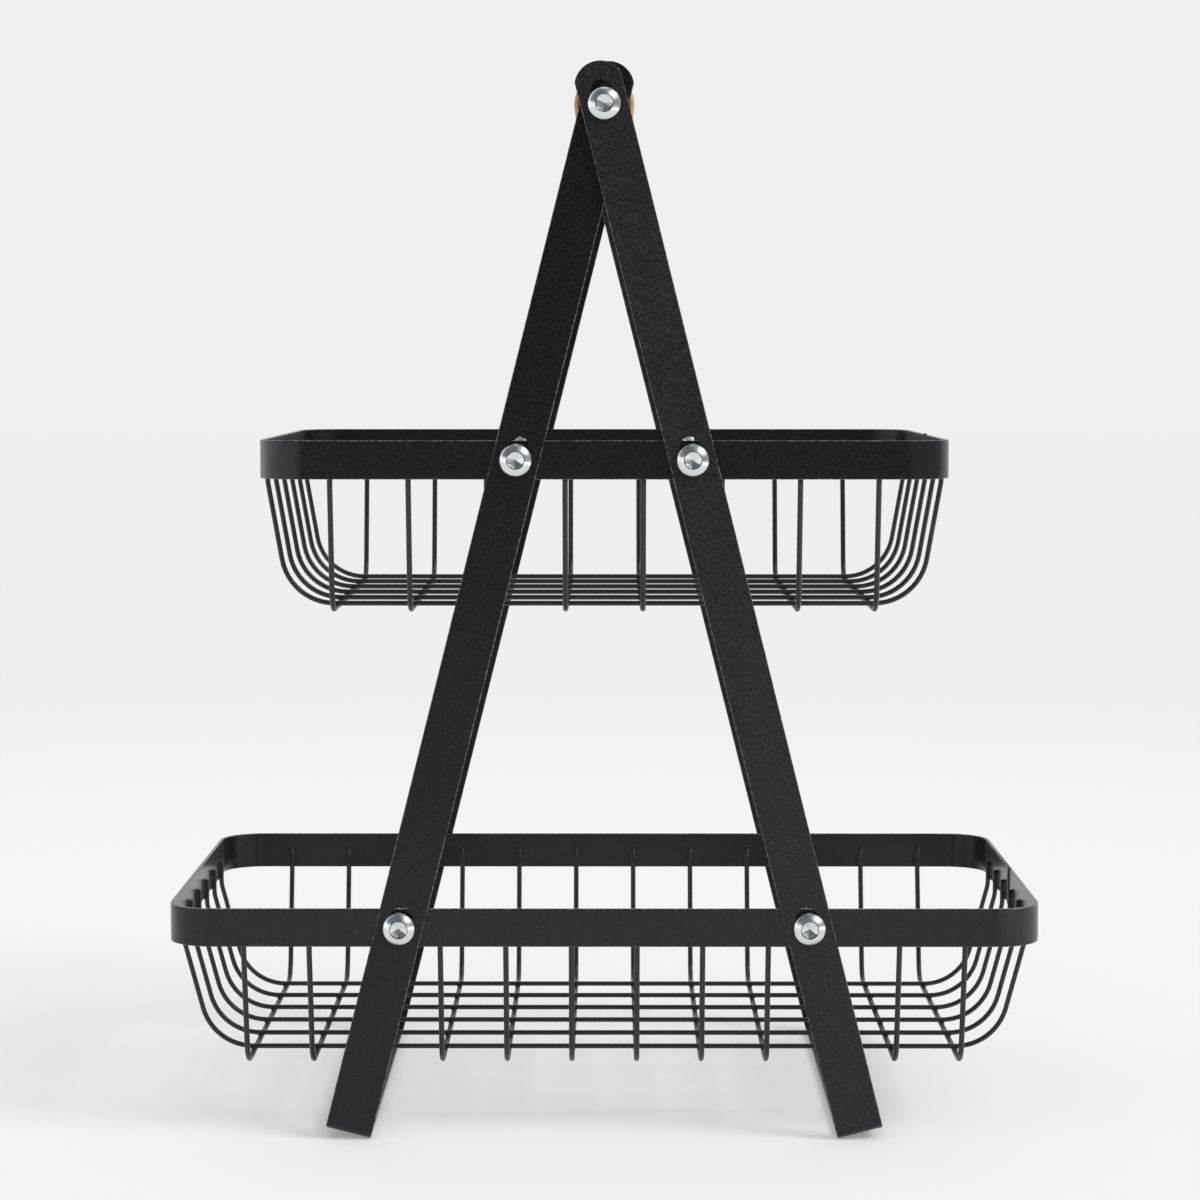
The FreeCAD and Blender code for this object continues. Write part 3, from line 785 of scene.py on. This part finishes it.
# screws: domed heads with a hex socket, and threaded shanks
screw = {
    "basketLength": 0.012,
    "handleLength": 0.020,
    "radius": 0.004,
    "pitch": 0.00125,
    "threadDepth": 0.00062,
    "threadFlat": 0.12,         # share of a pitch that is flat at the crest, and as much at the root
    "threadSteps": 6,           # rings in one pitch
    "tipChamfer": 0.0008,
    "headRadius": 0.007,
    "headHeight": 0.0034,
    "headEdge": 0.0011,
    "edgeRound": 0.00030,
    "flatRadius": 0.0039,
    "domeRadius": 0.0094,
    "domeSteps": 12,
    "mouth": (0.00036, 0.00016),  # ring round the socket: width and fall
    "leadIn": 0.0004,
    "socketWidth": 0.0060,
    "socketDepth": 0.0026,
    "socketPoint": 0.0014,      # depth of the cone left by the drill
    "socketTip": 0.0005,        # radius at its tip
    "sides": 48,
    "seed": 7,
}


def threadRing(height, length):
    p = screw

    def ring(turn):
        phase = (height / p["pitch"] + turn / (2 * math.pi)) % 1
        depth = (abs(2 * phase - 1) - p["threadFlat"]) / (1 - 2 * p["threadFlat"])
        depth = min(max(depth, 0.0), 1.0)
        tip = p["radius"] - p["tipChamfer"] + (length + height)
        return min(p["radius"] - p["threadDepth"] * depth, tip), height
    return ring


def domeRings():
    p = screw
    edge = Vector((p["headRadius"], p["headEdge"]))
    flat = Vector((p["flatRadius"], p["headHeight"]))
    chord = flat - edge
    inward = Vector((-chord.y, chord.x)).normalized()
    centre = (edge + flat) / 2 + inward * math.sqrt(p["domeRadius"] ** 2 - chord.length_squared / 4)
    first = math.atan2(edge.y - centre.y, edge.x - centre.x)
    last = math.atan2(flat.y - centre.y, flat.x - centre.x)
    for step in range(p["domeSteps"] + 1):
        turn = first + (last - first) * step / p["domeSteps"]
        radius = centre.x + p["domeRadius"] * math.cos(turn)
        yield plainRing(radius, centre.y + p["domeRadius"] * math.sin(turn))


def screwMesh(length):
    p = screw
    steps = round(length / p["pitch"] * p["threadSteps"])
    rings = [threadRing(-length + length * step / steps, length) for step in range(steps + 1)]
    rings += [plainRing(p["headRadius"] - p["edgeRound"], 0), plainRing(p["headRadius"], p["edgeRound"]),
              plainRing(p["headRadius"], p["headEdge"] - p["edgeRound"])]
    rings += list(domeRings())[1:]
    # the faces of the ring round the socket's mouth carry painted shade
    mouthStart = len(rings) - 1
    bottom = p["headHeight"] - p["socketDepth"]
    rings += [plainRing(p["flatRadius"] - p["mouth"][0], p["headHeight"] - p["mouth"][1]),
              hexRing(p["socketWidth"], p["headHeight"] - p["leadIn"]),
              hexRing(p["socketWidth"], bottom),
              plainRing(p["socketTip"], bottom - p["socketPoint"])]
    return ringMesh(rings, p["sides"], marked=(mouthStart,))


# nuts: hexagons with both faces chamfered round
nut = {
    "width": 0.013,
    "height": 0.0065,
    "bore": 0.00405,
    "boreChamfer": 0.0005,
    "face": 0.0061,
    "chamferSlope": math.tan(math.radians(30)),
    "sides": 72,
}


def nutMesh():
    p = nut
    wall = hexRing(p["width"], 0)
    mouth = p["bore"] + p["boreChamfer"]
    top = p["height"]

    def corner(height, way):
        def ring(turn):
            radius = wall(turn)[0]
            return radius, height - way * (radius - p["face"]) * p["chamferSlope"]
        return ring

    rings = [plainRing(p["bore"], p["boreChamfer"]), plainRing(mouth, 0), plainRing(p["face"], 0),
             corner(0, -1), corner(top, 1), plainRing(p["face"], top), plainRing(mouth, top),
             plainRing(p["bore"], top - p["boreChamfer"])]
    return ringMesh(rings, p["sides"])


def fastenerTree():
    tree, given = newTree("fasteners", {"Pattern": "Object", "Seed": "Int", "Material": "Material"})
    pattern = addNode(tree, "GeometryNodeObjectInfo", {"Object": given["Pattern"]})
    upright = addNode(tree, "FunctionNodeAlignRotationToVector",
                      {"Vector": vectorsNamed(tree, "facing")}, axis="Z")
    copies = addNode(tree, "GeometryNodeInstanceOnPoints",
                     {"Points": given["Geometry"], "Instance": pattern.outputs["Geometry"],
                      "Rotation": upright.outputs[0]})
    # input 3 is the most that a plain number may be, and output 1 is that number
    spin = addNode(tree, "FunctionNodeRandomValue", {3: math.pi * 2, "Seed": given["Seed"]}).outputs[1]
    about = addNode(tree, "FunctionNodeAxisAngleToRotation", {"Axis": (0, 0, 1), "Angle": spin})
    spun = addNode(tree, "GeometryNodeRotateInstances",
                   {"Instances": copies.outputs[0], "Rotation": about.outputs[0], "Local Space": True})
    closeTree(tree, spun.outputs[0], given["Material"])
    return tree


def makeFasteners(tree, name, node, body, mesh, material, seats):
    pattern = newHolder(mesh)
    points = pointCloud([seat for seat, facing in seats], facing=[facing for seat, facing in seats])
    made = runTree(tree, points, {"Pattern": pattern, "Seed": screw["seed"], "Material": material})
    bpy.data.objects.remove(pattern)
    made.set_sharp_from_angle(angle=sharpAngle)
    addPiece(name, made, body, [node])
    print(name, "set:", len(seats))


def seatsOf(spreads, level, depth, outwards):
    return [(Vector((x, side * depth, level)), Vector((0, side * outwards, 0)))
            for x in spreads for side in (-1, 1)]


fasteners = fastenerTree()
for basket in baskets:
    low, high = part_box(basket + "_basket_screws")
    spread = high.x - screw["headRadius"]
    level = (low.z + high.z) / 2
    headSeat = high.y - screw["headHeight"]
    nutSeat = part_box(basket + "_basket_nuts")[1].y
    makeFasteners(fasteners, basket + "BasketScrews", basket + "_basket_screws", "stand",
                  screwMesh(screw["basketLength"]), zinc, seatsOf((-spread, spread), level, headSeat, 1))
    makeFasteners(fasteners, basket + "BasketNuts", basket + "_basket_nuts", "stand",
                  nutMesh(), dullZinc, seatsOf((-spread, spread), level, nutSeat, -1))
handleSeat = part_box("handle_screws")[1].y - screw["headHeight"]
makeFasteners(fasteners, "handleScrews", "handle_screws", "handle",
              screwMesh(screw["handleLength"]), zinc, seatsOf((0,), apex.z, handleSeat, 1))


# handle: turned dowel with eased ends, bored for its threaded inserts
dowel = {
    "endRound": 0.0016,
    "roundSteps": 5,
    "boreRadius": 0.00605,
    "boreDepth": 0.023,
    "sides": 72,
}


def makeDowel():
    p = dowel
    low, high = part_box("handle_dowel")
    radius = (high.x - low.x) / 2
    end = high.y
    half = [(p["boreRadius"], end - p["boreDepth"]), (p["boreRadius"], end)]
    for step in range(p["roundSteps"] + 1):
        turn = quarter * step / p["roundSteps"]
        reach = radius - p["endRound"] * (1 - math.sin(turn))
        half.append((reach, end - p["endRound"] * (1 - math.cos(turn))))
    profile = half + [(reach, -height) for reach, height in reversed(half)]
    endFaces = (1, len(profile) - 3)  # rings where the two end faces begin
    mesh = ringMesh([plainRing(reach, height) for reach, height in profile], p["sides"],
                    mark="endGrainAndShade", marked=endFaces)
    mesh.transform(Matrix.Translation(apex) @ Matrix.Rotation(-quarter, 4, "X"))
    mesh.shade_smooth()
    mesh.set_sharp_from_angle(angle=sharpAngle)
    mesh.materials.append(wood)
    addPiece("handleDowel", mesh, "handle", ["handle_dowel"])
    print("handle turned")


makeDowel()
inserts = frame["nodes"]["handle_inserts"]
inserts.data.materials.clear()
inserts.data.materials.append(dullZinc)


# studio: pale floor and surroundings, and one soft sun from the right
studio = {
    "floorSize": 24.0,
    "nearFloor": (0.762, 0.762, 0.762, 1),
    "farFloor": (0.685, 0.685, 0.685, 1),
    "floorReach": (0.25, 2.0),            # from the near tone to the far one
    "floorLift": 0.28,                    # share of the background tone in what is seen of the floor
    "paperRoughness": 0.9,
    "horizon": (0.871, 0.871, 0.871, 1),
    "sunPower": 1.75,
    "sunAngle": math.radians(26),
    "sunFrom": (0.72, -0.34, 0.74),
}
# cards round the object, which only reflections show: dark in front, grey and white at the sides
cards = {
    "step": (13, 20),                     # degrees of height where a left side steps out
    "steps": 20,
    "fade": (0.4, 1.2),                   # heights of the low tone and of the high one
    "front": {
        "left": (-15, -78),               # degrees from the front, low and high up
        "right": 17,
        "distance": 2.4,
        "top": 80,                        # degrees above the floor
        "low": (0.13, 0.13, 0.139, 1),
        "high": (0.16, 0.18, 0.21, 1),
        "glow": 0.0,
    },
    "side": {
        "left": (17, 17),
        "right": 105,
        "distance": 2.4,
        "top": 80,
        "low": (0.36, 0.37, 0.39, 1),
        "high": (0.36, 0.37, 0.39, 1),
        "glow": 0.0,
    },
    "bounce": {                           # lit white card at the left
        "left": (-130, -130),
        "right": -18,
        "distance": 2.4,
        "top": 22,
        "low": (0.95, 0.95, 0.94, 1),
        "high": (0.95, 0.95, 0.94, 1),
        "glow": 0.30,
    },
    "strip": {                            # low lit strip at the right
        "left": (25, 25),
        "right": 150,
        "distance": 0.9,
        "top": 8,
        "low": (0.95, 0.95, 0.94, 1),
        "high": (0.95, 0.95, 0.94, 1),
        "glow": 1.30,
    },
}


def stagePiece(name, mesh, axes, tones, reach, glow=0.0):
    # paper of two tones, from one to the other as the distance along the axes grows
    piece = newHolder(mesh)
    piece.name = name
    material, tree, shader, coords = newMaterial(name + "Paper")
    flat = addNode(tree, "ShaderNodeVectorMath", {0: coords, 1: axes}, operation="MULTIPLY")
    away = addNode(tree, "ShaderNodeVectorMath", {0: flat.outputs["Vector"]}, operation="LENGTH")
    share = mapped(tree, away.outputs["Value"], reach, interpolation_type="SMOOTHSTEP")
    feed(tree, shader, {
        "Base Color": mixed(tree, share, *tones),
        "Roughness": studio["paperRoughness"],
        "Specular IOR Level": 0.0,
        "Emission Strength": glow,
    })
    mesh.materials.append(material)
    return piece


def liftFloor(material):
    # the camera, gloss and glass see the floor part of the way to the background
    tree = material.node_tree
    path = addNode(tree, "ShaderNodeLightPath").outputs
    seen = mathOf(tree, "MAXIMUM", path["Is Camera Ray"], path["Is Glossy Ray"])
    seen = mathOf(tree, "MAXIMUM", seen, path["Is Transmission Ray"])
    share = mathOf(tree, "MULTIPLY", seen, studio["floorLift"])
    paper = tree.nodes["Principled BSDF"].outputs[0]
    plain = addNode(tree, "ShaderNodeEmission", {"Color": studio["horizon"]}).outputs[0]
    both = addNode(tree, "ShaderNodeMixShader", {0: share, 1: paper, 2: plain})
    feed(tree, tree.nodes["Material Output"], {"Surface": both.outputs[0]})


def floorMesh():
    half = studio["floorSize"] / 2
    corners = [(-half, -half, 0), (half, -half, 0), (half, half, 0), (-half, half, 0)]
    mesh = bpy.data.meshes.new("floor")
    mesh.from_pydata(corners, [], [(0, 1, 2, 3)])
    return mesh


def cardMesh(card):
    steps = cards["steps"]
    stepStart, stepEnd = cards["step"]
    lowLeft, highLeft = card["left"]
    spots = []
    faces = []
    for row in range(steps + 1):
        height = card["top"] * row / steps
        out = min(max((height - stepStart) / (stepEnd - stepStart), 0), 1)
        left = lowLeft + (highLeft - lowLeft) * out
        rise = math.radians(height)
        flat = math.cos(rise)
        for column in range(steps + 1):
            side = math.radians(left + (card["right"] - left) * column / steps)
            spot = Vector((math.sin(side) * flat, -math.cos(side) * flat, math.sin(rise)))
            spots.append(spot * card["distance"])
            if row and column:
                corner = row * (steps + 1) + column
                faces.append((corner, corner - 1, corner - steps - 2, corner - steps - 1))
    mesh = bpy.data.meshes.new("card")
    mesh.from_pydata(spots, [], faces)
    return mesh


def makeStudio():
    p = studio
    floor = stagePiece("floor", floorMesh(), (1, 1, 0), (p["nearFloor"], p["farFloor"]), p["floorReach"])
    liftFloor(floor.data.materials[0])
    for name in ("front", "side", "bounce", "strip"):
        card = cards[name]
        screen = stagePiece(name + "Screen", cardMesh(card), (0, 0, 1), (card["low"], card["high"]),
                            cards["fade"], card["glow"])
        screen.visible_camera = False
        screen.visible_diffuse = False
        screen.visible_shadow = False

    world = bpy.data.worlds.new("studio")
    world.use_nodes = True
    world.node_tree.nodes["Background"].inputs["Color"].default_value = p["horizon"]
    bpy.context.scene.world = world

    sun = bpy.data.lights.new("softSun", "SUN")
    sun.energy = p["sunPower"]
    sun.angle = p["sunAngle"]
    lamp = newHolder(sun)
    lamp.name = "softSun"
    lamp.rotation_euler = Vector(p["sunFrom"]).to_track_quat("Z", "Y").to_euler()
    print("studio lit")


makeStudio()


# camera: at the photograph's height and distance
view = {
    "place": (0.0014, -1.448, 0.336),
    "pitch": 0.0767,            # radians downwards
    "yaw": 0.0024,              # radians to the left
    "focalPixels": 3160,
    "pixels": 1200,
    "sensorWidth": 36.0,        # millimetres
}


def makeCamera():
    p = view
    camera = bpy.data.cameras.new("camera")
    camera.sensor_width = p["sensorWidth"]
    camera.lens = p["focalPixels"] / p["pixels"] * p["sensorWidth"]
    holder = newHolder(camera)
    holder.name = "camera"
    holder.location = p["place"]
    holder.rotation_euler = (quarter - p["pitch"], 0, p["yaw"])
    bpy.context.scene.camera = holder


makeCamera()
bpy.context.scene.view_settings.view_transform = "Standard"
